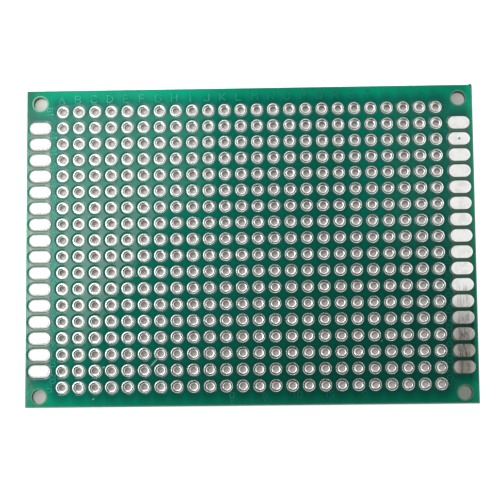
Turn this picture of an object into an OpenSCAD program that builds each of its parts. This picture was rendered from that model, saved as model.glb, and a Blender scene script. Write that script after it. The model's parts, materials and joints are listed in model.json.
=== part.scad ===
// Prototype board: a double-sided sheet of glass laminate, drilled on a
// 2.54 mm grid, with a plated and tinned hole at every grid point.
//
// The origin is at the middle of the board, on the plane that its tinned
// pads rest on. +X runs along the columns from A, +Y up the rows from 01,
// and +Z is the front face.

/* [Board] */
// Length of the board, along the columns
board_l = 70; // [40:1:120]
// Width of the board, along the rows
board_w = 49.8; // [24:0.1:120]
// Thickness of the bare laminate
laminate_t = 1.5; // [1.2:0.1:2.4]
// Width of the bevel that the scoring blade leaves on each edge
score_w = 0.22; // [0.1:0.02:0.4]
// Depth of the score, from each face
score_depth = 0.5; // [0.2:0.05:0.55]

/* [Hole grid] */
// Distance between neighbouring holes
pitch = 2.54; // [2:0.01:5.08]
// Bore of a finished hole
bore_d = 0.9; // [0.7:0.05:1.2]
// Least room between the outer columns and the ends of the board
end_strip = 5.7; // [5.4:0.1:8]
// Least room between the outer rows and the sides of the board
side_strip = 3.2; // [3:0.1:6]
// How far the drilled pattern sits from the middle of the outline
pattern_shift = -0.26; // [-0.4:0.02:0.4]

/* [Plating] */
// Outside diameter of the tinned ring
ring_d = 1.92; // [1.6:0.02:2.1]
// Thickness of copper and tin on the wall of a hole
barrel_t = 0.16; // [0.05:0.01:0.18]
// Height of the tinned crown above the laminate
crown_h = 0.09; // [0.05:0.01:0.15]
// Distance from the edge of a ring in to the top of its crown
crest_in = 0.19; // [0.12:0.01:0.25]
// Radius of the crown, across the ring
crown_r = 1.3; // [0.8:0.05:2]
// Height of the upright edge under the bevel of a ring
edge_h = 0.02; // [0.01:0.005:0.04]
// Radius of the lip where a ring turns into its bore
lip_r = 0.12; // [0.06:0.01:0.2]

/* [Edge pads] */
// Length of an edge pad
pad_l = 3.4; // [2.4:0.1:4]
// Width of an edge pad, which its round ends share
pad_w = 1.95; // [1.2:0.05:2.2]
// Width of the rounded shoulder round an edge pad
shoulder_w = 0.2; // [0.1:0.02:0.3]
// Gap between an edge pad and the end of the board
pad_inset = 0.55; // [0.4:0.05:1]

/* [Solder mask] */
// Thickness of the solder mask
mask_t = 0.03; // [0.02:0.005:0.05]
// Gap between the solder mask and whatever it goes round
mask_relief = 0.11; // [0.05:0.01:0.15]
// Width of the bare ring that the mask leaves round a mounting hole
mount_relief = 0.2; // [0.1:0.02:0.4]

/* [Mounting holes] */
// Diameter of a mounting hole
mount_d = 2.2; // [1.6:0.1:3.2]
// Distance from the ends of the board to the mounting holes
mount_from_end = 2.25; // [1.8:0.05:4]
// Distance from the sides of the board to the mounting holes
mount_from_side = 1.95; // [1.8:0.05:4]

/* [Hidden] */
$fn = 48;

// A count is rounded down, so a whole number of steps needs this much grace
count_grace = 0.001;
columns = floor((board_l - 2 * end_strip) / pitch + count_grace) + 1;
rows = floor((board_w - 2 * side_strip) / pitch + count_grace) + 1;

// Heights above the middle of the laminate
face_z = laminate_t / 2;
crown_z = face_z + crown_h;

// The lip is limited by the metal over the corner of the laminate
lip = min(lip_r, (barrel_t + crown_h) / 2);

// Radii of one plated hole
bore_r = bore_d / 2;
drill_r = bore_r + barrel_t;
ring_r = ring_d / 2;
crest_r = ring_r - crest_in;

// A lip pokes this far through the crown and the bore, to cross them cleanly
crossing = 0.0005;

// Extra length by which a cut runs past what it cuts
past = 1;

function column_x(column) = (column - (columns - 1) / 2) * pitch;
function row_y(row) = pattern_shift + (row - (rows - 1) / 2) * pitch;

// A, B ... Z, AA, AB ...
function column_name(column) =
    column < 26
        ? chr(65 + column)
        : str(chr(64 + floor(column / 26)), chr(65 + column % 26));

mount_x = board_l / 2 - mount_from_end;
mount_y = board_w / 2 - mount_from_side;
pad_x = board_l / 2 - pad_inset - pad_l / 2;

// An edge pad stands beside each row that is clear of the mounting holes
pad_reach = mount_y - mount_d / 2 - mount_relief - 2 * mask_relief - pad_w / 2;
pad_rows = [
    for (row = [0:rows - 1])
        if (abs(row_y(row) - pattern_shift) < pad_reach) row
];

// Radius of a shallow arc that falls by drop over the distance run
function arc_radius(run, drop) = (run * run + drop * drop) / (2 * drop);

// Places its children at every grid point
module at_grid() {
    for (column = [0:columns - 1], row = [0:rows - 1])
        translate([column_x(column), row_y(row)]) children();
}

// Places its children at the four mounting holes
module at_mounts() {
    for (x = [-1, 1], y = [-1, 1])
        translate([x * mount_x, pattern_shift + y * mount_y]) children();
}

// Places its children at the edge pads of one end, 1 for the right
module at_pads(end) {
    for (row = pad_rows)
        translate([end * pad_x, row_y(row)]) children();
}

// Section of the laminate across one size of the board: the blade scores
// both faces, and the web between the scores is left standing proud of them
module scored_section(size) {
    face = size / 2 - score_w;
    web = face_z - score_depth;
    polygon([
        for (side = [1, -1]) each [
            [side * face, -side * face_z],
            [side * size / 2, -side * web],
            [side * size / 2, side * web],
            [side * face, side * face_z],
        ]
    ]);
}

// Half section of a plated hole, from its axis outwards: a barrel with a
// shallow crown at each end, which turns into the bore over a round lip and
// down to the laminate over a bevel
module plated_section() {
    lip_x = bore_r + lip - crossing;
    middle_z = crown_z - crown_r;
    lip_z = middle_z + crossing
        + sqrt(pow(crown_r - lip, 2) - pow(crest_r - lip_x, 2));
    lip_end = lip_x - lip * (crest_r - lip_x) / (crown_r - lip);
    edge_z = face_z + edge_h;
    difference() {
        union() {
            translate([0, -lip_z]) square([drill_r + crossing, 2 * lip_z]);
            for (side = [0, 1]) mirror([0, side]) intersection() {
                translate([crest_r, middle_z]) circle(crown_r, $fn = 96);
                union() {
                    translate([lip_x, lip_z]) circle(lip);
                    polygon([
                        [lip_end, face_z / 2],
                        [ring_r, face_z / 2],
                        [ring_r, edge_z],
                        [ring_r - crown_h, edge_z + crown_h],
                        [lip_end, edge_z + crown_h],
                    ]);
                }
            }
        }
        translate([0, -crown_z]) square([bore_r, 2 * crown_z]);
        translate([drill_r, -face_z]) square([ring_r, laminate_t]);
    }
}

// Half section of an edge pad, from its middle to its rounded shoulder
module pad_section() {
    flat = pad_w / 2 - shoulder_w;
    fall_r = arc_radius(shoulder_w, crown_h);
    square([flat, crown_h]);
    intersection() {
        translate([flat, crown_h - fall_r]) circle(fall_r, $fn = 96);
        translate([flat, 0]) square([shoulder_w, crown_h]);
    }
}

// One edge pad, on the plane z = 0: a straight bar between two round ends
module edge_pad() {
    straight = pad_l - pad_w;
    rotate([90, 0, 90]) linear_extrude(straight, center = true)
        for (side = [0, 1]) mirror([side, 0]) pad_section();
    for (x = [-1, 1])
        translate([x * straight / 2, 0]) rotate_extrude() pad_section();
}

// Outline of an edge pad, grown all round by the relief of the mask
module pad_opening() {
    straight = pad_l - pad_w;
    opening_w = pad_w + 2 * mask_relief;
    square([straight, opening_w], center = true);
    for (x = [-1, 1]) translate([x * straight / 2, 0]) circle(d = opening_w);
}

// The mask's outline: it ends at the scores, and leaves every pad bare
module mask_outline() {
    difference() {
        square([board_l - 2 * score_w, board_w - 2 * score_w], center = true);
        at_grid() circle(ring_r + mask_relief);
        at_mounts() circle(mount_d / 2 + mount_relief);
        for (end = [-1, 1]) at_pads(end) pad_opening();
    }
}

// Sheet of glass laminate, scored round its edges and drilled right through
module laminate() {
    color([0.72, 0.66, 0.45]) translate([0, 0, crown_z]) difference() {
        intersection() {
            rotate([90, 0, 0])
                linear_extrude(board_w, center = true) scored_section(board_l);
            rotate([90, 0, 90])
                linear_extrude(board_l, center = true) scored_section(board_w);
        }
        at_grid() cylinder(h = laminate_t + past, r = drill_r, center = true);
        at_mounts() cylinder(h = laminate_t + past, d = mount_d, center = true);
    }
}

// Film of solder mask on one face, 1 for the front
module solder_mask(side) {
    color([0.0, 0.42, 0.29])
        translate([0, 0, crown_z + side * (face_z + mask_t / 2)])
            linear_extrude(mask_t, center = true) mask_outline();
}

// One column of plated holes, each a solid of its own
module plated_holes(column) {
    color([0.82, 0.82, 0.8]) for (row = [0:rows - 1])
        translate([column_x(column), row_y(row), crown_z])
            rotate_extrude() plated_section();
}

// The edge pads of one face and end, 1 for the front and for the right
module edge_pads(side, end) {
    color([0.86, 0.86, 0.84]) translate([0, 0, crown_z])
        at_pads(end) mirror([0, 0, side > 0 ? 0 : 1])
            translate([0, 0, face_z]) edge_pad();
}

laminate();
solder_mask(1);  // solder_mask_front
solder_mask(-1);  // solder_mask_back
for (column = [0:columns - 1])
    plated_holes(column);
edge_pads(1, -1);  // edge_pads_front_left
edge_pads(1, 1);  // edge_pads_front_right
edge_pads(-1, -1);  // edge_pads_back_left
edge_pads(-1, 1);  // edge_pads_back_right
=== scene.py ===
"""Looks of a prototype board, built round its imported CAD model.

Every tinned hole, edge pad, film of solder mask and the laminate itself is a
CAD node, which keeps its shape and gets its finish here. What the script adds
is the raised lettering of the grid, the ragged corner and the studio.

Lengths are in millimetres, and are turned to metres where a mesh is placed.
"""

import json
import logging
import math
from dataclasses import dataclass
from enum import Enum

import bmesh
import bpy
from mathutils import Matrix, Vector

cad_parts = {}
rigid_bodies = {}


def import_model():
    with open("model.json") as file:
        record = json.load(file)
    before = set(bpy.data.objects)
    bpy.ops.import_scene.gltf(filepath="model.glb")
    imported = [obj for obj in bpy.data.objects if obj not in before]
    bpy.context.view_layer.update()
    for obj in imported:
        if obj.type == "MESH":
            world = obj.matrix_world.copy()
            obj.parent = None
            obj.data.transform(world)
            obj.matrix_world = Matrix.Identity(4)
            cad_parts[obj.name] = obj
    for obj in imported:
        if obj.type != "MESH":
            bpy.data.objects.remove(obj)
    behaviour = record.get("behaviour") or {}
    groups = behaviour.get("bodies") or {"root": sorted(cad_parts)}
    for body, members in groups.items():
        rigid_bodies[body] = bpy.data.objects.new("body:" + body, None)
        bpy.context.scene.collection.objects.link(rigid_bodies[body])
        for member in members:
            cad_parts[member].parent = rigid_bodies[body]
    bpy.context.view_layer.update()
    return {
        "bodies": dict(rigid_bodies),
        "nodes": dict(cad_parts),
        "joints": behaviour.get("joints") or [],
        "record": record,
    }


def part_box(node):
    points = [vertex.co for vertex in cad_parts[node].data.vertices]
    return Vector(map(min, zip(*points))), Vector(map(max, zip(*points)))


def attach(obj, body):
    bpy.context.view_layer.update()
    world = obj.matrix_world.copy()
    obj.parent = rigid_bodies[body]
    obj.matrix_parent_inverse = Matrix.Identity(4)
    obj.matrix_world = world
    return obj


LOG = logging.getLogger("prototype_board")
BODY = "root"
MM = 0.001
WHITE = (1.0, 1.0, 1.0, 1.0)

# Two places between which something changes, or the parts of a flat point
Pair = tuple[float, float]
# The parts of a point in space or of a tint
Triple = tuple[float, float, float]
# Where something starts, is full, starts to fade and ends
Quad = tuple[float, float, float, float]
Socket = bpy.types.NodeSocket
Material = bpy.types.Material


class Slot(Enum):
    """Names of two material slots of the record."""

    MASK = "solder_mask"
    LAMINATE = "laminate"


class Side(Enum):
    """The two ends of the board, as the direction from its middle."""

    LEFT = -1
    RIGHT = 1


# --------------------------------------------------------------------------
# Shader expressions
# --------------------------------------------------------------------------


class Signal:
    """A number socket, on which an expression adds its Math nodes."""

    def __init__(self, bench: "Bench", socket: Socket) -> None:
        """Wraps an output socket of the bench's node tree."""
        self.bench = bench
        self.socket = socket

    def math(self, operation: str, *operands: "Signal | float") -> "Signal":
        """Adds one Math node.

        Args:
            operation: The node's operation, such as "ADD".
            operands: What goes into its sockets, from the first.

        Returns:
            The node's result.
        """
        sockets = {index: operand for index, operand in enumerate(operands)}
        node = self.bench.node("ShaderNodeMath", {"operation": operation}, sockets)
        return Signal(self.bench, node.outputs[0])

    def __add__(self, other: "Signal | float") -> "Signal":
        """Sum."""
        return self.math("ADD", self, other)

    __radd__ = __add__

    def __sub__(self, other: "Signal | float") -> "Signal":
        """Difference."""
        return self.math("SUBTRACT", self, other)

    def __rsub__(self, other: float) -> "Signal":
        """Difference, the other way round."""
        return self.math("SUBTRACT", other, self)

    def __mul__(self, other: "Signal | float") -> "Signal":
        """Product."""
        return self.math("MULTIPLY", self, other)

    __rmul__ = __mul__

    def __truediv__(self, other: "Signal | float") -> "Signal":
        """Quotient."""
        return self.math("DIVIDE", self, other)

    def __abs__(self) -> "Signal":
        """Size, without the sign."""
        return self.math("ABSOLUTE", self)

    def fraction(self) -> "Signal":
        """What is left above the whole number below."""
        return self.math("FRACT", self)

    def root(self) -> "Signal":
        """Square root."""
        return self.math("SQRT", self)

    def cosine(self) -> "Signal":
        """Cosine, of radians."""
        return self.math("COSINE", self)

    def exponent(self) -> "Signal":
        """The exponential function."""
        return self.math("EXPONENT", self)

    def at_least(self, other: "Signal | float") -> "Signal":
        """The larger of the two."""
        return self.math("MAXIMUM", self, other)

    def at_most(self, other: "Signal | float") -> "Signal":
        """The smaller of the two."""
        return self.math("MINIMUM", self, other)

    def step(self, low: float, high: float) -> "Signal":
        """Rises smoothly from 0 to 1.

        Args:
            low: The value up to which it is 0.
            high: The value from which it is 1.

        Returns:
            The smooth step.
        """
        node = self.bench.node(
            "ShaderNodeMapRange",
            {"interpolation_type": "SMOOTHSTEP", "clamp": True},
            {"Value": self, "From Min": low, "From Max": high},
        )
        return Signal(self.bench, node.outputs["Result"])

    def hump(self, start: float, full: float, fading: float, end: float) -> "Signal":
        """0 up to the start, 1 from full to fading, and 0 again from the end."""
        return self.step(start, full) * (1.0 - self.step(fading, end))


@dataclass
class Place:
    """A point of the surface, in millimetres.

    Attributes:
        vector: The whole point, which noise is read at.
        x: Its part along the columns.
        y: Its part up the rows.
        z: Its height.
    """

    vector: Socket
    x: Signal
    y: Signal
    z: Signal


class Bench:
    """The node tree of one material or world."""

    def __init__(self, tree: bpy.types.NodeTree) -> None:
        """Clears the tree, which is filled anew."""
        self.tree = tree
        tree.nodes.clear()

    def node(
        self, kind: str, settings: dict | None = None, sockets: dict | None = None
    ) -> bpy.types.Node:
        """Adds any node.

        Args:
            kind: The node's type.
            settings: Its settings, which are set first.
            sockets: Values or links, by the socket's name or number. A node
                stands for its first output.

        Returns:
            The node.
        """
        node = self.tree.nodes.new(kind)
        for name, value in (settings or {}).items():
            setattr(node, name, value)
        for name, value in (sockets or {}).items():
            if isinstance(value, Signal):
                value = value.socket
            if isinstance(value, bpy.types.Node):
                value = value.outputs[0]
            if isinstance(value, Socket):
                self.tree.links.new(value, node.inputs[name])
            else:
                node.inputs[name].default_value = value
        return node

    def place(self) -> Place:
        """The shaded point in the object's own frame, in millimetres."""
        frame = self.node("ShaderNodeTexCoord")
        vector = self.scaled(frame.outputs["Object"], 1 / MM)
        return Place(vector, *self.split(vector))

    def rays(self, *kinds: str) -> list[Signal]:
        """1 for rays of each kind, such as "Camera", and 0 for other rays."""
        path = self.node("ShaderNodeLightPath")
        return [Signal(self, path.outputs[f"Is {kind} Ray"]) for kind in kinds]

    def split(self, vector: Socket) -> tuple[Signal, Signal, Signal]:
        """The three parts of a vector."""
        parts = self.node("ShaderNodeSeparateXYZ", sockets={0: vector})
        return tuple(Signal(self, socket) for socket in parts.outputs)

    def noise(
        self, place: Place, grain: float, detail: float = 1.0, stretch: Triple | None = None
    ) -> Signal:
        """Smooth noise from 0 to 1.

        Args:
            place: Where it is read.
            grain: The size of its lumps, in millimetres.
            detail: How many finer layers it has.
            stretch: What the place's parts are multiplied by first, which
                gives the pattern a direction.

        Returns:
            The noise.
        """
        vector = place.vector
        if stretch:
            multiplied = {"operation": "MULTIPLY"}
            vector = self.node("ShaderNodeVectorMath", multiplied, {0: vector, 1: stretch})
        node = self.node(
            "ShaderNodeTexNoise",
            {"noise_dimensions": "3D"},
            {"Vector": vector, "Scale": 1 / grain, "Detail": detail},
        )
        return Signal(self, node.outputs["Fac"])

    def mix(self, factor: Signal, first: object, second: object) -> Socket:
        """Mixes two colours or colour sockets; the factor is the second's share."""
        node = self.node("ShaderNodeMix", {"data_type": "RGBA"}, {0: factor, 6: first, 7: second})
        return node.outputs[2]

    def blend(
        self, factor: Signal, first: bpy.types.Node, second: bpy.types.Node
    ) -> bpy.types.Node:
        """Mixes two shaders; the factor is the second's share."""
        return self.node("ShaderNodeMixShader", sockets={0: factor, 1: first, 2: second})

    def scaled(self, vector: Socket, factor: Signal | float) -> Socket:
        """A vector, or a colour, multiplied by a factor."""
        sockets = {0: vector, "Scale": factor}
        return self.node("ShaderNodeVectorMath", {"operation": "SCALE"}, sockets).outputs[0]

    def bump(self, height: Signal) -> Socket:
        """Normals of a relief, whose height is given in millimetres."""
        node = self.node("ShaderNodeBump", sockets={"Distance": MM, "Height": height})
        return node.outputs["Normal"]


def new_bench(name: str) -> tuple[Material, Bench]:
    """Starts a material.

    Args:
        name: The material's name.

    Returns:
        The material and its bench.
    """
    material = bpy.data.materials.new(name)
    material.use_nodes = True
    return material, Bench(material.node_tree)


def rgb(red: float, green: float, blue: float) -> tuple[float, float, float, float]:
    """A colour with full alpha."""
    return (red, green, blue, 1.0)


def add_object(name: str, data: bpy.types.ID) -> bpy.types.Object:
    """Puts a mesh, curve, lamp or camera into the scene."""
    added = bpy.data.objects.new(name, data)
    bpy.context.scene.collection.objects.link(added)
    return added


# --------------------------------------------------------------------------
# The board, as the frame gives it
# --------------------------------------------------------------------------


@dataclass(frozen=True)
class Grid:
    """Sizes of the board in millimetres, read from its CAD nodes.

    Attributes:
        names: The column nodes, from A.
        pads: The edge pad nodes.
        pitch: Distance between neighbouring holes.
        ring_r: Outer radius of a tinned ring.
        first: The hole A01.
        last: The hole in the last column and row.
        rows: Number of rows.
        half: Half the board's length and width.
        face: Height of the front mask.
        middle: Height of the laminate's middle.
        laminate: Thickness of the laminate.
        pad_middle: Distance from the board's middle to an edge pad's.
        pad_straight: Half the straight length of an edge pad.
        pad_r: Radius of an edge pad's ends.
    """

    names: tuple[str, ...]
    pads: tuple[str, ...]
    pitch: float
    ring_r: float
    first: Pair
    last: Pair
    rows: int
    half: Pair
    face: float
    middle: float
    laminate: float
    pad_middle: float
    pad_straight: float
    pad_r: float

    # Height above the laminate's middle from which a point is on the front
    FRONT_UP = 0.1
    # From this far on the left to this far on the right, the look of the
    # board's left turns into that of its right
    ENDS_OUT = 30.0
    # Widths of the soft edges of the strips between the pads
    WEB_END = 0.3
    WEB_SIDE = 0.6

    @classmethod
    def from_frame(cls, nodes: dict) -> "Grid":
        """Measures the frame.

        Args:
            nodes: The CAD nodes by name.

        Returns:
            The board's sizes.
        """
        names = tuple(sorted(name for name in nodes if name.startswith("plated_holes_")))
        pads = tuple(sorted(name for name in nodes if name.startswith("edge_pads_")))
        low_first, high_first = cls._box(names[0])
        low_last, high_last = cls._box(names[-1])
        ring_r = (high_first.x - low_first.x) / 2
        pitch = (low_last.x - low_first.x) / (len(names) - 1)
        rows = round((high_first.y - low_first.y - 2 * ring_r) / pitch) + 1
        board_low, board_high = cls._box("laminate")
        pad_low, pad_high = cls._box("edge_pads_front_right")
        # The first and the last row have no pads
        pad_r = (pad_high.y - pad_low.y - (rows - 3) * pitch) / 2
        return cls(
            names=names,
            pads=pads,
            pitch=pitch,
            ring_r=ring_r,
            first=(low_first.x + ring_r, low_first.y + ring_r),
            last=(high_last.x - ring_r, high_last.y - ring_r),
            rows=rows,
            half=((board_high.x - board_low.x) / 2, (board_high.y - board_low.y) / 2),
            face=cls._box("solder_mask_front")[1].z,
            middle=(board_low.z + board_high.z) / 2,
            laminate=board_high.z - board_low.z,
            pad_middle=(pad_low.x + pad_high.x) / 2,
            pad_straight=(pad_high.x - pad_low.x) / 2 - pad_r,
            pad_r=pad_r,
        )

    @staticmethod
    def _box(node: str) -> tuple[Vector, Vector]:
        """A node's corners in millimetres."""
        low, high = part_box(node)
        return low / MM, high / MM

    def column(self, index: int) -> float:
        """Where a column stands, from 0 for A."""
        return self.first[0] + index * self.pitch

    def row(self, index: int) -> float:
        """Where a row stands, from 0 for 01."""
        return self.first[1] + index * self.pitch

    def tin_gap(self, place: Place) -> Signal:
        """Distance to the nearest tinned edge of a ring or a pad.

        Args:
            place: Where it is wanted.

        Returns:
            The distance in millimetres.
        """
        across = self._cell(place.x, self.first[0], self.last[0])
        along = self._cell(place.y, self.first[1], self.last[1])
        ring = (across * across + along * along).root() - self.ring_r
        past_straight = (abs(abs(place.x) - self.pad_middle) - self.pad_straight).at_least(0.0)
        pad_along = self._cell(place.y, self.row(1), self.row(self.rows - 2))
        pad = (past_straight * past_straight + pad_along * pad_along).root() - self.pad_r
        return ring.at_most(pad)

    def edge_gap(self, place: Place) -> Signal:
        """Distance inwards from the nearest edge of the board."""
        end = self.half[0] - abs(place.x)
        side = self.half[1] - abs(place.y)
        return end.at_most(side)

    def on_front(self, place: Place) -> Signal:
        """1 on the front of the board and 0 on its back."""
        return place.z.step(self.middle, self.middle + self.FRONT_UP)

    def rightness(self, place: Place) -> Signal:
        """0 at the left end of the board, rising to 1 at its right end."""
        return place.x.step(-self.ENDS_OUT, self.ENDS_OUT)

    def between_pads(self, place: Place) -> Signal:
        """1 in the two strips that the edge pads stand in, and 0 elsewhere."""
        reach = self.pad_straight + self.pad_r
        half_run = (self.row(self.rows - 2) - self.row(1)) / 2
        middle = (self.first[1] + self.last[1]) / 2
        across = 1.0 - abs(abs(place.x) - self.pad_middle).step(reach - self.WEB_END, reach)
        along = 1.0 - abs(place.y - middle).step(half_run, half_run + self.WEB_SIDE)
        return across * along

    def _cell(self, value: Signal, first: float, last: float) -> Signal:
        """Distance along one axis to the nearest of a row of points.

        Args:
            value: The coordinate.
            first: The first point of the row.
            last: The last point of the row.

        Returns:
            The distance, which grows past both ends of the row.
        """
        nearest = ((value - first) / self.pitch + 0.5).fraction() - 0.5
        inside = abs(nearest) * self.pitch
        middle = (first + last) / 2
        outside = abs(value - middle) - (last - first) / 2
        return inside.at_least(outside)


# --------------------------------------------------------------------------
# Finishes
# --------------------------------------------------------------------------


@dataclass(frozen=True)
class Scratch:
    """A mark in a finish, as a short line.

    Attributes:
        start: One end, in millimetres.
        end: The other end.
        width: Its width.
        strength: How clearly it shows, from 0 to 1.
    """

    start: Pair
    end: Pair
    width: float
    strength: float

    # Share of the width within which the mark is full
    CORE = 0.3

    def mask(self, place: Place) -> Signal:
        """How much of the mark there is at a place.

        Args:
            place: Where it is wanted.

        Returns:
            From 0 to the mark's strength.
        """
        run = Vector(self.end) - Vector(self.start)
        length = max(run.length, self.width)
        along_x, along_y = run.x / length, run.y / length
        from_x = place.x - self.start[0]
        from_y = place.y - self.start[1]
        along = from_x * along_x + from_y * along_y
        nearest = along.at_least(0.0).at_most(length)
        off_x = from_x - nearest * along_x
        off_y = from_y - nearest * along_y
        distance = (off_x * off_x + off_y * off_y).root()
        return (1.0 - distance.step(self.width * self.CORE, self.width)) * self.strength


@dataclass(frozen=True)
class Patch:
    """A soft-edged part of the board on which a finish differs.

    Attributes:
        strength: How much it differs at its fullest.
        across: The places along X at which it starts and is full.
        along: The same along Y.
    """

    strength: float
    across: Pair | None = None
    along: Pair | None = None

    def mask(self, place: Place) -> Signal:
        """How much of the patch there is at a place."""
        ramps = ((place.x, self.across), (place.y, self.along))
        return math.prod(
            (self._ramp(value, *span) for value, span in ramps if span), start=self.strength
        )

    @staticmethod
    def _ramp(value: Signal, start: float, full: float) -> Signal:
        """Rises from the start to the full place, whichever is lower."""
        if start < full:
            return value.step(start, full)
        return 1.0 - value.step(full, start)


class Finish:
    """A finish of the board's pieces, whose pattern is fixed to the board."""

    NAME = "finish"

    def sockets(self, bench: Bench, place: Place, grid: Grid) -> dict:
        """What goes into the shader.

        Args:
            bench: The material's node tree.
            place: The shaded point.
            grid: The board's sizes.

        Returns:
            Values or links, by the name of the Principled shader's socket.
        """
        raise NotImplementedError

    def material(self, grid: Grid) -> Material:
        """Makes the material.

        Args:
            grid: The board's sizes.

        Returns:
            The material.
        """
        material, bench = new_bench(self.NAME)
        sockets = self.sockets(bench, bench.place(), grid)
        shader = bench.node("ShaderNodeBsdfPrincipled", sockets=sockets)
        bench.node("ShaderNodeOutputMaterial", sockets={"Surface": shader})
        return material


@dataclass(frozen=True)
class MaskFinish(Finish):
    """Glossy green solder mask, with painted light and shade in its colour: painted brighter where
    no copper shades it.

    Attributes:
        near: Colour beside the tinned copper, painted dark as painted shade.
        far: Colour out in the open border, painted pale as painted light that
            comes up through the laminate.
        open_span: Distances from the tin at which that painted light starts
            and is full.
        edge_span: Distances from the board's edge over which the painted
            light at that edge falls, where no tin is near.
        edge_open: How strong that painted light is at the edge, from near
            to far.
        web_left: Colour between the edge pads on the left, painted dark as
            painted shade between the pads and greyed as a painted reflection.
        web_right: Colour between those on the right, painted in the same way.
        web_tones: Where along the left strip that painted
            reflection is paler or darker, and by how much.
        grime: Colour between the pads that carry the painted dark
            reflection, darker still.
        grimed: Where those pads stand.
        tone: How bright the lacquer is, apart from its streaks and patches.
        streaked: How much its streaks, which follow the cloth, brighten it.
        tones: Where light and shade are painted into the
        lacquer, paler or darker, and by how much.
        scuff: Colour of a scuffed spot.
        scuffs: The marks on the front.
        ior: Index of refraction of the lacquer.
        roughness: Of its gloss.
        scuff_roughness: What a scuff adds to that.
        meniscus: Distances from the tin over which the lacquer rises.
        swell: Height of that rise, in millimetres.
        warp: Height of its broad waves.
        peel: Height of its orange peel.
        ripple: Height of its finest waves.
    """

    NAME = "solder_mask"

    near: tuple = rgb(0.0005, 0.105, 0.072)
    far: tuple = rgb(0.0005, 0.225, 0.122)
    open_span: Pair = (0.15, 2.2)
    edge_span: Pair = (0.25, 1.3)
    edge_open: float = 0.6
    web_left: tuple = rgb(0.105, 0.16, 0.125)
    web_right: tuple = rgb(0.07, 0.17, 0.12)
    web_tones: tuple = (
        Patch(0.32, (-31.5, -32.2), (-19.5, -15.0)),
        Patch(-0.55, (-31.5, -32.2), (2.0, 14.0)),
    )
    grime: tuple = rgb(0.014, 0.072, 0.05)
    grimed: Patch = Patch(1.0, (29.5, 31.5), (-8.0, -11.5))
    tone: float = 0.9
    streaked: float = 0.2
    # Painted light and shade: paler towards the right and along the right-hand edge, darker along
    # the left end and at the top left corner, among smaller patches.
    tones: tuple = (
        Patch(0.34, (13.5, 19.0), (-4.0, 6.0)),
        Patch(0.06, (10.0, 22.0)),
        Patch(0.05, None, (-8.0, -16.0)),
        Patch(0.16, None, (-21.0, -22.5)),
        Patch(0.18, (-22.0, -27.0), (2.0, -6.0)),
        Patch(-0.25, (-28.0, -33.0), (18.0, 22.0)),
        Patch(0.14, (-19.0, -15.0), (0.0, 5.0)),
        Patch(-0.18, (-8.0, -4.0), (0.0, 5.0)),
        Patch(-0.3, (-33.0, -34.2)),
        Patch(0.6, (33.6, 34.4)),
    )
    scuff: tuple = rgb(0.30, 0.52, 0.44)
    scuffs: tuple = (
        Scratch((-15.4, -18.6), (-14.4, -17.5), 0.16, 0.7),
        Scratch((-22.8, -18.8), (-22.6, -18.8), 0.22, 0.6),
        Scratch((-24.4, -23.7), (-24.3, -23.6), 0.14, 0.6),
        Scratch((-17.7, -4.7), (-17.6, -4.6), 0.14, 0.5),
        Scratch((20.1, -15.2), (20.2, -15.1), 0.14, 0.5),
    )
    ior: float = 1.6
    roughness: float = 0.02
    scuff_roughness: float = 0.4
    meniscus: Pair = (0.05, 0.32)
    swell: float = 0.008
    warp: float = 0.004
    peel: float = 0.0015
    ripple: float = 0.00018

    def sockets(self, bench: Bench, place: Place, grid: Grid) -> dict:
        """What goes into the shader of both films of mask."""
        front = grid.on_front(place)
        gap = grid.tin_gap(place)
        cloud = bench.noise(place, grain=6.0, detail=3.0)
        grit = bench.noise(place, grain=0.35, detail=2.0)
        streaks = bench.noise(place, grain=1.1, detail=2.0, stretch=(1.0, 0.05, 1.0))

        # Painted light and shade: the colour is painted paler away from the tin and near the
        # board's edge, for light that comes up through the laminate, and darker beside the tin.
        inwards = grid.edge_gap(place).step(*self.edge_span)
        painted_light = gap.step(*self.open_span) * (0.75 + 0.5 * cloud)
        painted_light = painted_light.at_least((1.0 - inwards) * self.edge_open)
        # Painted light and shade, patch by patch.
        tone = sum((patch.mask(place) for patch in self.tones), self.tone)
        colour = bench.mix(painted_light, self.near, self.far)
        colour = bench.scaled(colour, tone + streaks * self.streaked)

        # Painted shade between the edge pads, with a painted reflection that greys it and varies
        # along the left strip.
        web = bench.mix(grid.rightness(place), self.web_left, self.web_right)
        web = bench.scaled(web, sum((patch.mask(place) for patch in self.web_tones), 1.0))
        # Darker between the pads that carry the painted dark reflection.
        web = bench.mix(self.grimed.mask(place) * front, web, self.grime)
        colour = bench.mix(grid.between_pads(place), colour, web)
        worn = sum(scuff.mask(place) for scuff in self.scuffs) * front
        colour = bench.mix(worn * (0.6 + 0.8 * grit), colour, self.scuff)

        relief = gap.step(*self.meniscus) * self.swell + cloud * self.warp
        relief = relief + bench.noise(place, grain=0.9) * self.peel
        relief = relief + bench.noise(place, grain=0.16) * self.ripple
        return {
            "Base Color": colour,
            "Roughness": worn * self.scuff_roughness + self.roughness + 0.02 * grit,
            "IOR": self.ior,
            "Normal": bench.bump(relief),
        }


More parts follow.
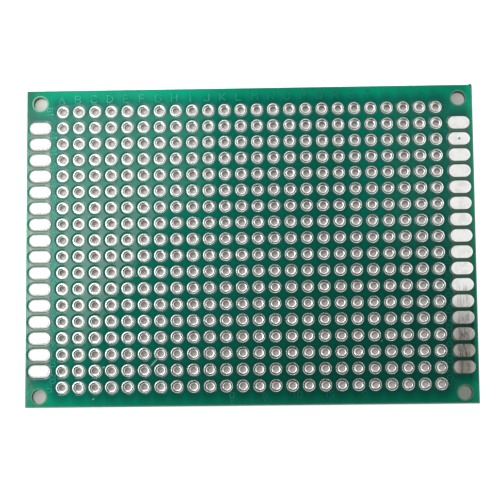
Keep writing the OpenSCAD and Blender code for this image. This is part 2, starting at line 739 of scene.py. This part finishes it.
@dataclass(frozen=True)
class LegendFinish(Finish):
    """Copper tracks under the mask, which make it paler.

    Attributes:
        colour: Of the lacquer over copper.
        deep: Of its thicker spots.
        faint: Of both on the right.
        faint_span: Where along the board it turns faint.
        ior: Index of refraction of the lacquer.
        roughness: Of its gloss.
        ripple: Height of its waves, in millimetres.
    """

    NAME = "mask_over_copper"

    colour: tuple = rgb(0.05, 0.34, 0.26)
    deep: tuple = rgb(0.01, 0.22, 0.15)
    faint: tuple = rgb(0.002, 0.17, 0.115)
    faint_span: Pair = (-12.0, 8.0)
    ior: float = 1.35
    roughness: float = 0.3
    ripple: float = 0.001

    def sockets(self, bench: Bench, place: Place, grid: Grid) -> dict:
        """What goes into the shader of the raised lettering."""
        blotch = bench.noise(place, grain=0.5, detail=2.0)
        colour = bench.mix(blotch.step(0.35, 0.7), self.deep, self.colour)
        return {
            "Base Color": bench.mix(place.x.step(*self.faint_span), colour, self.faint),
            "Roughness": blotch * 0.1 + self.roughness,
            "IOR": self.ior,
            "Normal": bench.bump(bench.noise(place, grain=0.12) * self.ripple),
        }


@dataclass(frozen=True)
class TinFinish(Finish):
    """Hot-dipped tin: bright, uneven, dulled in patches, with painted shade down in the bores.

    Attributes:
        bright: Colour of the clean metal.
        dull: Colour of its dull patches.
        barrel: Colour of the metal down in the bores, painted dark as
            painted shade.
        mouth: How far from the board's middle the painted shade in a bore
            starts to brighten.
        roughness: Of the clean metal.
        dull_roughness: What the dull patches add to it.
        waves: Height of the frozen waves, in millimetres.
        ripple: Height of the finest of them.
    """

    NAME = "tinned_rings"

    bright: tuple = rgb(0.84, 0.845, 0.825)
    dull: tuple = rgb(0.60, 0.56, 0.50)
    barrel: tuple = rgb(0.26, 0.24, 0.20)
    mouth: float = 0.5
    roughness: float = 0.12
    dull_roughness: float = 0.04
    waves: float = 0.008
    ripple: float = 0.00012

    def sockets(self, bench: Bench, place: Place, grid: Grid) -> dict:
        """What goes into the shader of all plated holes."""
        patches = bench.noise(place, grain=1.6, detail=3.0).step(0.42, 0.72)
        fine = bench.noise(place, grain=0.45, detail=2.0)
        face = bench.mix(patches * (0.3 + 0.4 * fine), self.bright, self.dull)
        # Painted shade down in the bores.
        inside = 1.0 - abs(place.z - grid.middle).step(self.mouth, grid.laminate / 2)
        relief = bench.noise(place, grain=0.9) * self.waves
        relief = relief + bench.noise(place, grain=0.25) * self.ripple
        return {
            "Base Color": bench.mix(inside, face, self.barrel),
            "Metallic": 1.0,
            "Roughness": patches * self.dull_roughness + self.roughness + 0.02 * fine,
            "Normal": bench.bump(relief),
        }


@dataclass(frozen=True)
class PadFinish(Finish):
    """Tin of the edge pads, levelled flat, with a painted dark reflection at one corner.

    Attributes:
        bright: Colour of the clean metal.
        dull: Colour of its dull patches.
        stain: Colour of the painted dark reflection.
        streak: Colour of the painted dark streaks in that
            reflection, and of the pit.
        stained: Where the painted dark reflection is.
        streaked: Distances from the pads' middle over which the painted
            streaks end.
        pit: A small hole in the tin.
        roughness: Of the metal on the left.
        rubbed: What the rubbed metal on the right has more.
        lumps: Height of its unevenness, in millimetres.
    """

    NAME = "tinned_pads"

    bright: tuple = rgb(0.98, 0.98, 0.965)
    dull: tuple = rgb(0.88, 0.88, 0.86)
    stain: tuple = rgb(0.30, 0.275, 0.245)
    streak: tuple = rgb(0.06, 0.055, 0.05)
    stained: Patch = Patch(1.0, (29.0, 30.0), (-5.5, -16.0))
    streaked: Pair = (0.5, 1.3)
    pit: Scratch = Scratch((32.75, 16.2), (32.85, 16.3), 0.22, 0.9)
    roughness: float = 0.22
    rubbed: float = 0.42
    lumps: float = 0.002

    # The painted dark reflection has started where this many times its share comes to 1
    ONSET = 12.0

    def sockets(self, bench: Bench, place: Place, grid: Grid) -> dict:
        """What goes into the shader of all edge pads."""
        front = grid.on_front(place)
        patches = bench.noise(place, grain=1.1, detail=3.0).step(0.45, 0.7)
        mottle = bench.noise(place, grain=0.4, detail=3.0)
        rubs = bench.noise(place, grain=0.2, detail=3.0, stretch=(1.0, 0.16, 1.0)).step(0.42, 0.62)
        ends = abs(place.x - grid.pad_middle).step(*self.streaked)
        streaks = rubs * (1.0 - ends)

        # Painted dark reflection on the pads at the lower right, with painted streaks, paler
        # towards the pads' ends.
        stained = self.stained.mask(place) * front
        stain = bench.mix(ends * 0.25, self.stain, self.dull)
        stain = bench.mix(streaks * 0.8, stain, self.streak)
        colour = bench.mix(patches, self.bright, self.dull)
        colour = bench.mix(stained * (0.72 + 0.5 * mottle), colour, stain)
        # Single painted streaks run on where the painted dark reflection has only just started
        started = (stained * self.ONSET).at_most(1.0) * (1.0 - stained)
        colour = bench.mix(started * streaks * 0.45, colour, self.stain)
        return {
            "Base Color": bench.mix(self.pit.mask(place) * front, colour, self.streak),
            "Metallic": 1.0,
            "Roughness": grid.rightness(place) * self.rubbed + self.roughness + 0.06 * mottle,
            "Normal": bench.bump(mottle * self.lumps),
        }


@dataclass(frozen=True)
class LaminateFinish(Finish):
    """Epoxy and glass cloth, which shows its plies on cut edges.

    Attributes:
        stained: Colour of the face round the tin, painted dark as
        painted shade in the gap beside the tin.
        bare: Colour of the face round the mounting holes.
        bare_span: Distances from the tin over which the one becomes the other.
        drilled: Colour of the walls of the bare holes, painted dark as
        painted shade.
        resin: Colour of the resin on a scored edge.
        glass: Colour of the paler glass bundles there.
        bevel: Colour of the scored bevel beside the mask.
        bevel_span: Depths under the face between which the bevel turns pale.
        edge: Width of the border that counts as edge, in millimetres.
        ply: Thickness of one ply of cloth, in millimetres.
        bundle: Width of a bundle of glass in the cloth.
        roughness: Of the cut faces.
        fuzz: Height of the cut fibres, in millimetres.
        ply_relief: Height of the plies.
    """

    NAME = "glass_laminate"

    stained: tuple = rgb(0.012, 0.075, 0.045)
    bare: tuple = rgb(0.11, 0.27, 0.19)
    bare_span: Pair = (0.2, 0.4)
    drilled: tuple = rgb(0.06, 0.13, 0.07)
    resin: tuple = rgb(0.47, 0.46, 0.31)
    glass: tuple = rgb(0.75, 0.76, 0.62)
    bevel: tuple = rgb(0.01, 0.27, 0.18)
    bevel_span: Pair = (0.25, 0.45)
    edge: float = 0.35
    ply: float = 0.19
    bundle: float = 0.45
    roughness: float = 0.55
    fuzz: float = 0.03
    ply_relief: float = 0.006

    # Depth over which a face, or the edge border, gives way to what is inside
    SKIN = 0.02

    def sockets(self, bench: Bench, place: Place, grid: Grid) -> dict:
        """What goes into the shader of the laminate."""
        ply_turn = 2 * math.pi / self.ply
        bundle_turn = 2 * math.pi / self.bundle
        plies = (place.z * ply_turn).cosine()
        weave = (place.x * bundle_turn).cosine() + (place.y * bundle_turn).cosine()
        fibres = bench.noise(place, grain=0.18, detail=3.0, stretch=(1.0, 1.0, 5.0))
        pattern = 0.25 + 0.22 * plies + 0.08 * weave * plies + 0.5 * fibres

        depth = grid.laminate / 2 - abs(place.z - grid.middle)
        in_bevel = 1.0 - depth.step(*self.bevel_span)
        cut = bench.mix(pattern.step(0.15, 0.95), self.resin, self.glass)
        cut = bench.mix(in_bevel * (0.75 + 0.4 * fibres), cut, self.bevel)
        # Painted shade in the gap beside the tin and down the walls of the bare holes.
        face = bench.mix(grid.tin_gap(place).step(*self.bare_span), self.stained, self.bare)
        inner = bench.mix(depth.step(self.SKIN / 2, self.SKIN), face, self.drilled)
        at_edge = 1.0 - grid.edge_gap(place).step(self.edge - self.SKIN, self.edge)
        return {
            "Base Color": bench.mix(at_edge, inner, cut),
            "Roughness": fibres * 0.2 + self.roughness,
            "Normal": bench.bump(fibres * self.fuzz + plies * self.ply_relief),
        }


@dataclass(frozen=True)
class PaperLook:
    """How a part of the floor is seen, by the camera and in gloss.

    Attributes:
        colour: How much of the light that falls on it shows.
        lift: What it shows besides, where 1 is white.
        tint: Colour of both.
    """

    colour: float
    lift: float
    tint: Triple = (1.0, 1.0, 1.0)

    def shader(self, bench: Bench) -> bpy.types.Node:
        """Adds the look's shader.

        Args:
            bench: The floor's node tree.

        Returns:
            The last node.
        """
        shown = rgb(*(self.colour * part for part in self.tint))
        lit = bench.node("ShaderNodeBsdfDiffuse", sockets={"Color": shown})
        lift = {"Color": rgb(*self.tint), "Strength": self.lift}
        glow = bench.node("ShaderNodeEmission", sockets=lift)
        return bench.node("ShaderNodeAddShader", sockets={0: lit, 1: glow})


@dataclass(frozen=True)
class PaperFinish:
    """The white floor, which keeps the board's shadow, with painted light and shade where it shows
    through the board's holes.

    Attributes:
        colour: The paper's own colour.
        open: How it is seen beside the board.
        covered: How it is seen under the board, through the plated holes,
            with a painted glow.
        corner: How it is seen through the mounting holes, with its own
            painted glow.
        far_corner: How it is seen through the one that the lamp
            reaches least, with painted shade and a painted green bounce.
        blend: Distance over which the covered floor turns into the open one.
        corner_x: Where along the board its corners start.
        corner_y: The same across it.
        far: Where the far corner is.
    """

    colour: tuple = rgb(0.9, 0.9, 0.9)
    open: PaperLook = PaperLook(0.95, 0.8)
    covered: PaperLook = PaperLook(0.75, 0.14, (1.0, 0.985, 0.93))
    corner: PaperLook = PaperLook(0.22, 0.29, (1.0, 1.01, 0.95))
    far_corner: PaperLook = PaperLook(0.2, 0.14, (0.93, 1.06, 0.88))
    blend: float = 0.6
    corner_x: Pair = (30.0, 30.5)
    corner_y: Pair = (20.5, 21.0)
    far: Patch = Patch(1.0, (29.0, 30.0), (-20.0, -21.0))

    def material(self, grid: Grid) -> Material:
        """Makes the floor's material.

        Args:
            grid: The board's sizes.

        Returns:
            The material.
        """
        material, bench = new_bench("white_paper")
        place = bench.place()
        # Under the board, the floor seen through the holes is painted lighter or darker region by
        # region, with a painted glow and painted shade.
        looks = (self.covered, self.corner, self.far_corner, self.open)
        covered, corner, far_corner, outside = (look.shader(bench) for look in looks)
        at_corner = abs(place.x).step(*self.corner_x) * abs(place.y).step(*self.corner_y)
        corner = bench.blend(self.far.mask(place), corner, far_corner)
        seen = bench.blend(at_corner, covered, corner)
        seen = bench.blend(1.0 - grid.edge_gap(place).step(0.0, self.blend), seen, outside)
        paper = bench.node("ShaderNodeBsdfDiffuse", sockets={"Color": self.colour})
        camera, glossy, through = bench.rays("Camera", "Glossy", "Transmission")
        shader = bench.blend(camera.at_least(glossy).at_least(through), paper, seen)
        bench.node("ShaderNodeOutputMaterial", sockets={"Surface": shader})
        return material


# --------------------------------------------------------------------------
# Raised lettering of the grid
# --------------------------------------------------------------------------


@dataclass(frozen=True)
class StrokeFont:
    """Capitals and digits as strokes on a cell of 4 by 6 units.

    Attributes:
        width: Of a letter, in millimetres.
        height: Of a letter, in millimetres.
        space: Between two digits, as a share of the width.
    """

    width: float
    height: float
    space: float = 0.3

    # Strokes are divided by spaces and their points by dashes. A point's
    # first digit counts units across, and its second counts them upwards.
    STROKES = {
        "A": "00-26-40 13-33",
        "B": "00-06-36-45-44-33-03 33-42-41-30-00",
        "C": "45-36-16-05-01-10-30-41",
        "D": "00-06-26-44-42-20-00",
        "E": "46-06-00-40 03-33",
        "F": "46-06-00 03-33",
        "G": "45-36-16-05-01-10-30-41-43-23",
        "H": "00-06 40-46 03-43",
        "I": "15-26-20 10-30",
        "J": "46-41-30-10-01",
        "K": "00-06 46-02 13-40",
        "L": "06-00-40",
        "M": "00-06-23-46-40",
        "N": "00-06-40-46",
        "O": "10-30-41-45-36-16-05-01-10",
        "P": "00-06-36-45-44-33-03",
        "Q": "10-30-41-45-36-16-05-01-10 22-40",
        "R": "00-06-36-45-44-33-03 23-40",
        "S": "45-36-16-05-04-13-33-42-41-30-10-01",
        "T": "06-46 26-20",
        "U": "06-01-10-30-41-46",
        "V": "06-20-46",
        "W": "06-10-23-30-46",
        "X": "00-46 06-40",
        "0": "10-30-41-45-36-16-05-01-10",
        "1": "15-26-20 10-30",
        "2": "05-16-36-45-44-00-40",
        "3": "05-16-36-45-44-33-42-41-30-10-01 23-33",
        "4": "30-36-02-42",
        "5": "46-06-03-33-42-41-30-10-01",
        "6": "36-26-04-01-10-30-41-42-33-03",
        "7": "06-46-10",
        "8": "13-04-05-16-36-45-44-33-13-02-01-10-30-41-42-33",
        "9": "10-20-42-45-36-16-05-04-13-43",
    }

    def lines(self, text: str) -> list[list[Vector]]:
        """Strokes of a word, centred on its middle.

        Args:
            text: Capitals and digits.

        Returns:
            The points of each stroke, in millimetres.
        """
        advance = self.width * (1 + self.space)
        start = -advance * (len(text) - 1) / 2
        found = []
        for index, letter in enumerate(text):
            for stroke in self.STROKES[letter].split():
                found.append([
                    Vector((
                        start + index * advance + (int(across) / 4 - 0.5) * self.width,
                        (int(up) / 6 - 0.5) * self.height,
                        0.0,
                    ))
                    for across, up in stroke.split("-")
                ])
        return found


@dataclass
class Legend:
    """Names of the columns and rows, raised on the front of the board.

    Attributes:
        grid: The board's sizes.
        stroke_w: Width of a track.
        rise: How far a track stands above the mask.
        letter: Font of the column letters.
        digit: Font of the row numbers.
    """

    grid: Grid
    stroke_w: float = 0.15
    rise: float = 0.012
    letter: StrokeFont = StrokeFont(0.85, 1.14)
    digit: StrokeFont = StrokeFont(0.58, 0.83)

    # Middle of the first and last letter above the last row, and how far each
    # stands left of its column
    LETTERS_UP = (1.98, 2.25)
    LETTERS_SHIFT = (-0.15, -0.45)
    # Middle of the numbers from the outer columns and from their row
    NUMBERS_OUT = {Side.LEFT: 1.43, Side.RIGHT: 1.3}
    NUMBERS_DOWN = 1.17
    # The first and last numbers stand level with their rows, and further out
    END_NUMBERS_OUT = {Side.LEFT: 2.0, Side.RIGHT: 1.66}
    # The scale below the first row: where it starts, its length and its steps
    SCALE_START = (-3.0, -2.05)
    SCALE_LENGTH = 20
    SCALE_STEP = 5
    # Its ticks as a share of a letter's height, without and with a number,
    # and the middle of a number above its tick, as a share of its own height
    TICKS = (0.25, 0.5)
    SCALE_NUMBER_UP = 0.75

    def build(self, material: Material) -> None:
        """Makes the letters, the scale and the two columns of numbers.

        Args:
            material: Of their tracks.
        """
        groups = {"column_letters": self._letters(), "millimetre_scale": self._scale()}
        for side in Side:
            groups[f"row_numbers_{side.name.lower()}"] = self._numbers(side)
        for name, strokes in groups.items():
            self._tracks(name, strokes, material)

    def _letters(self) -> list[list[Vector]]:
        """Strokes of the column letters, in their places."""
        strokes = []
        for index, name in enumerate(self.grid.names):
            share = index / (len(self.grid.names) - 1)
            shift = self.LETTERS_SHIFT[0] * (1 - share) + self.LETTERS_SHIFT[1] * share
            rise = self.LETTERS_UP[0] * (1 - share) + self.LETTERS_UP[1] * share
            middle = Vector((self.grid.column(index) + shift, self.grid.last[1] + rise, 0.0))
            strokes += self._moved(self.letter.lines(name.rsplit("_", 1)[1]), middle)
        return strokes

    def _scale(self) -> list[list[Vector]]:
        """Strokes of a plain scale of millimetres below the first row."""
        left = self.SCALE_START[0]
        level = self.grid.first[1] + self.SCALE_START[1]
        strokes = []
        for count in range(self.SCALE_LENGTH + 1):
            numbered = count % self.SCALE_STEP == 0
            tick = self.letter.height * self.TICKS[numbered]
            foot = Vector((left + count, level - self.letter.height / 2, 0.0))
            strokes.append([foot, foot + Vector((0.0, tick, 0.0))])
            if numbered:
                up = tick + self.digit.height * self.SCALE_NUMBER_UP
                middle = foot + Vector((0.0, up, 0.0))
                strokes += self._moved(self.digit.lines(str(count)), middle)
        return strokes

    def _numbers(self, side: Side) -> list[list[Vector]]:
        """Strokes of one column of row numbers, which read upwards.

        Args:
            side: The end of the board that they stand at.

        Returns:
            The strokes, in their places.
        """
        quarter = Matrix.Rotation(math.pi / 2, 3, "Z")
        outer = self.grid.last[0] if side is Side.RIGHT else self.grid.first[0]
        strokes = []
        for index in range(self.grid.rows):
            at_end = index in (0, self.grid.rows - 1)
            out = self.END_NUMBERS_OUT[side] if at_end else self.NUMBERS_OUT[side]
            down = 0.0 if at_end else self.NUMBERS_DOWN
            middle = Vector((outer + side.value * out, self.grid.row(index) - down, 0.0))
            lines = self.digit.lines(f"{index + 1:02d}")
            upwards = [[quarter @ point for point in line] for line in lines]
            strokes += self._moved(upwards, middle)
        return strokes

    @staticmethod
    def _moved(lines: list[list[Vector]], middle: Vector) -> list[list[Vector]]:
        """Strokes of a word, moved to its place."""
        return [[point + middle for point in line] for line in lines]

    def _tracks(self, name: str, strokes: list[list[Vector]], material: Material) -> None:
        """Turns strokes into a piece of low round-backed tracks.

        Args:
            name: The piece's name.
            strokes: The points of each stroke.
            material: Its material.
        """
        curve = bpy.data.curves.new(name, "CURVE")
        curve.dimensions = "3D"
        curve.bevel_depth = self.stroke_w / 2
        curve.bevel_resolution = 1
        curve.use_fill_caps = True
        for stroke in strokes:
            spline = curve.splines.new("POLY")
            spline.points.add(len(stroke) - 1)
            for spline_point, point in zip(spline.points, stroke):
                spline_point.co = (*point, 1.0)
        holder = add_object(name, curve)
        evaluated = holder.evaluated_get(bpy.context.evaluated_depsgraph_get())
        mesh = bpy.data.meshes.new_from_object(evaluated)
        bpy.data.objects.remove(holder)
        flatten = self.rise / (self.stroke_w / 2)
        mesh.transform(
            Matrix.Scale(MM, 4)
            @ Matrix.Translation((0, 0, self.grid.face))
            @ Matrix.Diagonal((1, 1, flatten, 1))
        )
        piece = new_piece(name, mesh, material)


def new_piece(name: str, mesh: bpy.types.Mesh, material: Material) -> bpy.types.Object:
    """Links a finished mesh as a piece of the board.

    Args:
        name: The piece's name.
        mesh: Its mesh, in place.
        material: Its material.

    Returns:
        The piece, riding on the board.
    """
    mesh.name = name
    mesh.materials.clear()
    mesh.materials.append(material)
    piece = add_object(name, mesh)
    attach(piece, BODY)
    LOG.info("%s: %d faces", name, len(mesh.polygons))
    return piece


# --------------------------------------------------------------------------
# Ragged corner
# --------------------------------------------------------------------------


@dataclass(frozen=True)
class CornerBurr:
    """A stub of glass and resin, left where the board was snapped off.

    Attributes:
        grid: The board's sizes.
        width: Of the stub, in millimetres.
        tall: How far it reaches down the corner.
        inset: From its middle to the board's end, to its side, and up to the
            front mask.
        ragged: How much its radius varies, as a share of it.
    """

    grid: Grid
    width: float = 0.34
    tall: float = 1.1
    inset: Triple = (0.3, 0.02, 0.62)
    ragged: float = 0.12

    def build(self, material: Material) -> None:
        """Makes the stub on the corner at the last row and column.

        Args:
            material: The laminate's.
        """
        shape = bmesh.new()
        bmesh.ops.create_icosphere(shape, subdivisions=3, radius=0.5)
        for vertex in shape.verts:
            point = vertex.co
            waves = math.sin(9 * point.x + 5 * point.z) + math.sin(13 * point.y - 7 * point.z)
            vertex.co = point * (1 + self.ragged * waves)
        bmesh.ops.scale(shape, vec=(self.width, self.width, self.tall), verts=shape.verts)
        middle = Vector((*self.grid.half, self.grid.face)) - Vector(self.inset)
        bmesh.ops.translate(shape, vec=middle, verts=shape.verts)
        bmesh.ops.scale(shape, vec=(MM, MM, MM), verts=shape.verts)
        for face in shape.faces:
            face.smooth = True
        mesh = bpy.data.meshes.new("corner_burr")
        shape.to_mesh(mesh)
        shape.free()
        piece = new_piece("corner_burr", mesh, material)


# --------------------------------------------------------------------------
# Studio
# --------------------------------------------------------------------------


@dataclass(frozen=True)
class Softbox:
    """A lamp with a bright face, which neither the camera nor gloss shows.

    Attributes:
        centre: Where it hangs, in millimetres.
        target: The point that it faces.
        side: Length of its sides.
        radiance: How bright its face is, where 1 renders as white.
    """

    centre: Triple
    target: Triple
    side: float
    radiance: float

    # Cycles spreads an area lamp's power so that its face has this share of
    # power over area
    FACE_SHARE = 0.25

    def build(self) -> None:
        """Makes the lamp."""
        lamp = bpy.data.lights.new("lamp", "AREA")
        lamp.size = self.side * MM
        lamp.energy = self.radiance * lamp.size**2 / self.FACE_SHARE
        add_lamp(lamp, Vector(self.target) - Vector(self.centre), Vector(self.centre))


@dataclass(frozen=True)
class KeyLight:
    """A soft lamp so far off that it lights the whole board alike.

    Attributes:
        towards: Where it is, as the across and up parts of its direction
            over its height.
        strength: What it adds to a level surface, where 1 renders as white.
        spread: Its width as an angle, in radians.
    """

    towards: Pair
    strength: float
    spread: float

    def build(self) -> None:
        """Makes the lamp."""
        lamp = bpy.data.lights.new("key_light", "SUN")
        lamp.energy = self.strength * math.pi
        lamp.angle = self.spread
        add_lamp(lamp, Vector((-self.towards[0], -self.towards[1], -1.0)), Vector())


def add_lamp(lamp: bpy.types.Light, forward: Vector, stand: Vector) -> None:
    """Adds a lamp that lights the scene but isn't seen itself.

    Args:
        lamp: The lamp.
        forward: The direction that it shines in.
        stand: Where it stands, in millimetres.
    """
    holder = add_object(lamp.name, lamp)
    aim = forward.to_track_quat("-Z", "Y").to_matrix().to_4x4()
    holder.matrix_world = Matrix.Translation(stand * MM) @ aim
    holder.visible_camera = False
    holder.visible_glossy = False


@dataclass(frozen=True)
class Glow:
    """A bright part of the room, as gloss shows it.

    Attributes:
        towards: Its middle, as the across and up parts of a direction over
            its height.
        spread: How far it spreads across and up.
        radiance: What it adds to the room's light.
    """

    towards: Pair
    spread: Pair
    radiance: float

    def light(self, across: Signal, up: Signal) -> Signal:
        """What it adds in a direction.

        Args:
            across: The direction's part along X over its height.
            up: Its part along Y over its height.

        Returns:
            The added light.
        """
        off_x = (across - self.towards[0]) / self.spread[0]
        off_y = (up - self.towards[1]) / self.spread[1]
        falloff = (off_x * off_x + off_y * off_y) * -1.0
        return falloff.exponent() * self.radiance


@dataclass(frozen=True)
class Panel:
    """A soft-edged part of the room that is brighter or darker in gloss.

    Attributes:
        across: Its soft sides, from the left.
        up: Its soft foot and head.
        radiance: What it adds to the room's light.
    """

    across: Quad
    up: Quad
    radiance: float

    def light(self, across: Signal, up: Signal) -> Signal:
        """What it adds in a direction, which is given as for a glow."""
        return across.hump(*self.across) * up.hump(*self.up) * self.radiance


@dataclass(frozen=True)
class Studio:
    """White floor, two soft lamps and a pale room.

    Attributes:
        grid: The board's sizes.
        fill: How strongly the room lights the board.
        room: How bright the room looks in gloss.
        card: How bright the dark card over the board looks there.
        wall: How much brighter it is on the right.
        wall_span: Where that wall starts and is full.
        horizon: Heights between which the room turns from its pale horizon
            into what hangs over the board.
    """

    grid: Grid
    fill: float = 0.19
    room: float = 0.68
    card: float = 0.045
    wall: float = 0.5
    wall_span: Pair = (0.2, 0.6)
    horizon: Pair = (0.1, 0.5)

    FLOOR_SIZE = 4000.0
    FLOOR_DROP = 0.02
    # Directions are divided by their height, which counts as this at least
    LEAST_HEIGHT = 0.05
    GLOWS = (
        Glow((-0.133, 0.118), (0.060, 0.069), 2.6),
        Glow((-0.220, -0.030), (0.040, 0.130), 2.0),
        Glow((-0.098, 0.287), (0.078, 0.064), 2.1),
    )
    # The dim ceiling, the window on the right and the one on the left
    PANELS = (
        Panel((-0.19, -0.15, 0.08, 0.204), (-0.31, -0.139, 0.215, 0.245), -0.5202),
        Panel((0.13, 0.15, 0.16, 0.3), (0.06, 0.13, 0.15, 0.35), 2.2),
        Panel((-0.22, -0.19, -0.165, -0.157), (0.02, 0.07, 0.17, 0.215), 3.1),
    )
    LAMP = Softbox((-94.0, 11.0, 131.0), (-199.0, 184.0, 0.0), 153.0, 7.9)
    KEY = KeyLight((-0.12, 0.12), 0.22, 0.1)

    def build(self) -> None:
        """Makes the floor, the world and the lamps."""
        self._floor()
        self._world()
        self.LAMP.build()
        self.KEY.build()

    def _floor(self) -> None:
        """Lays the floor that the board rests on."""
        shape = bmesh.new()
        bmesh.ops.create_grid(shape, x_segments=1, y_segments=1, size=self.FLOOR_SIZE / 2 * MM)
        mesh = bpy.data.meshes.new("floor")
        shape.to_mesh(mesh)
        shape.free()
        mesh.transform(Matrix.Translation((0, 0, -self.FLOOR_DROP * MM)))
        mesh.materials.append(PaperFinish().material(self.grid))
        floor = add_object("floor", mesh)

    def _world(self) -> None:
        """Lights the room: an even fill, and a room with glows for gloss."""
        world = bpy.data.worlds.new("room")
        bpy.context.scene.world = world
        world.use_nodes = True
        bench = Bench(world.node_tree)
        frame = bench.node("ShaderNodeTexCoord")
        x, y, z = bench.split(frame.outputs["Generated"])
        height = z.at_least(self.LEAST_HEIGHT)
        across, up = x / height, y / height
        glows = sum(glow.light(across, up) for glow in self.GLOWS)
        wall = across.step(*self.wall_span) * self.wall
        overhead = z.step(*self.horizon)
        gloss = (self._gloss(across, up, glows) + wall) * overhead
        gloss = gloss + (1.0 - overhead) * (1.0 + wall)
        camera, glossy, through = bench.rays("Camera", "Glossy", "Transmission")
        seen = camera.at_least(through)
        strength = glossy * gloss + (1.0 - glossy) * (1.0 - seen) * (glows + self.fill) + seen
        sockets = {"Color": WHITE, "Strength": strength}
        room = bench.node("ShaderNodeBackground", sockets=sockets)
        bench.node("ShaderNodeOutputWorld", sockets={"Surface": room})

    def _gloss(self, across: Signal, up: Signal, glows: Signal) -> Signal:
        """The room overhead as gloss shows it.

        Args:
            across: A direction's part along X over its height.
            up: Its part along Y over its height.
            glows: What the glows add there.

        Returns:
            How bright it is in that direction.
        """
        room = sum(panel.light(across, up) for panel in self.PANELS) + self.room + glows
        dark = self._card_mask(across, up)
        return room * (1.0 - dark) + dark * self.card

    @staticmethod
    def _card_mask(across: Signal, up: Signal) -> Signal:
        """The dark card over the board, whose left side has cut corners.

        Args:
            across: A direction's part along X over its height.
            up: Its part along Y over its height.

        Returns:
            From 0 outside it to 1 within.
        """
        # Edges are soft, and given by the two places between which they rise.
        # The left side reaches out twice: high up with a leaning edge, and
        # low down, where the card is a little paler.
        middle = across.step(-0.056, -0.048)
        lean, upright_at = 0.57, 0.1433
        upper = (across - (up - upright_at) * lean).step(-0.086, -0.077)
        upper = upper * (1.0 - up.step(0.146, 0.154))
        low_darkness = 0.95
        lower = across.step(-0.166, -0.158) * (1.0 - up.step(0.046, 0.084)) * low_darkness
        uncut = across.step(-0.183, -0.123).at_least(up.step(-0.01, 0.015))
        left = middle.at_least(upper).at_least(lower).at_most(uncut)
        high = up.step(0.115, 0.125)
        high_right = (1.0 - across.step(0.058, 0.064)) * high
        right = high_right + (1.0 - across.step(0.08, 0.204)) * (1.0 - high)
        card = left * right * (1.0 - up.step(0.222, 0.24))
        # A rail runs along the top, darker on the right
        rail_left, rail_right = 0.85, 0.98
        darkness = rail_left + (rail_right - rail_left) * across.step(-0.095, -0.075)
        rail = across.step(-0.17, -0.15) * up.hump(0.209, 0.214, 0.228, 0.236) * darkness
        bottom = up.step(-0.31, -0.139)
        return card.at_least(rail) * bottom


@dataclass(frozen=True)
class Camera:
    """The camera over the board.

    Attributes:
        stand: Where it stands, in millimetres.
        aim: The point in the middle of its view.
        turn_deg: How far its view is turned clockwise.
        lens: Focal length on a 36 mm sensor.
        nearest: Distance from which it sees anything.
    """

    stand: Triple = (6.648, -31.093, 253.52)
    aim: Triple = (0.003, -0.858, 1.68)
    turn_deg: float = 0.552
    lens: float = 117.811
    nearest: float = 5.0

    def build(self) -> None:
        """Makes the camera and gives it to the scene."""
        forward = (Vector(self.aim) - Vector(self.stand)).normalized()
        turn = math.radians(self.turn_deg)
        across = forward.cross(Vector((math.sin(turn), math.cos(turn), 0.0))).normalized()
        upward = across.cross(forward)
        axes = Matrix((across, upward, -forward)).transposed().to_4x4()
        data = bpy.data.cameras.new("camera")
        data.lens = self.lens
        data.clip_start = self.nearest * MM
        holder = add_object("camera", data)
        holder.matrix_world = Matrix.Translation(Vector(self.stand) * MM) @ axes
        bpy.context.scene.camera = holder


# --------------------------------------------------------------------------
# The whole board
# --------------------------------------------------------------------------


class Board:
    """The board with its finishes and what they add."""

    def __init__(self, nodes: dict) -> None:
        """Reads the board's sizes from the CAD nodes, which are given by name."""
        self.nodes = nodes
        self.grid = Grid.from_frame(nodes)

    def build(self) -> None:
        """Dresses the CAD nodes and adds the lettering and the burr."""
        laminate = self._dress(("laminate",), LaminateFinish())
        self._dress(("solder_mask_front", "solder_mask_back"), MaskFinish())
        self._dress(self.grid.names, TinFinish())
        self._dress(self.grid.pads, PadFinish())
        Legend(self.grid).build(LegendFinish().material(self.grid))
        CornerBurr(self.grid).build(laminate)

    def _dress(self, names: tuple[str, ...], finish: Finish) -> Material:
        """Gives CAD nodes a finish.

        Args:
            names: The nodes.
            finish: Their finish.

        Returns:
            Its material.
        """
        material = finish.material(self.grid)
        for name in names:
            node = self.nodes[name]
            if not node.material_slots:
                node.data.materials.append(material)
            for slot in node.material_slots:
                slot.material = material
            LOG.info("%s: %s", name, material.name)
        return material


def main() -> None:
    """Builds the scene."""
    logging.basicConfig(level=logging.INFO, format="%(name)s: %(message)s")
    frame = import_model()
    scene = bpy.context.scene
    scene.view_settings.view_transform = "Standard"
    board = Board(frame["nodes"])
    board.build()
    Studio(board.grid).build()
    Camera().build()
    bpy.context.view_layer.update()


if __name__ == "__main__":
    main()
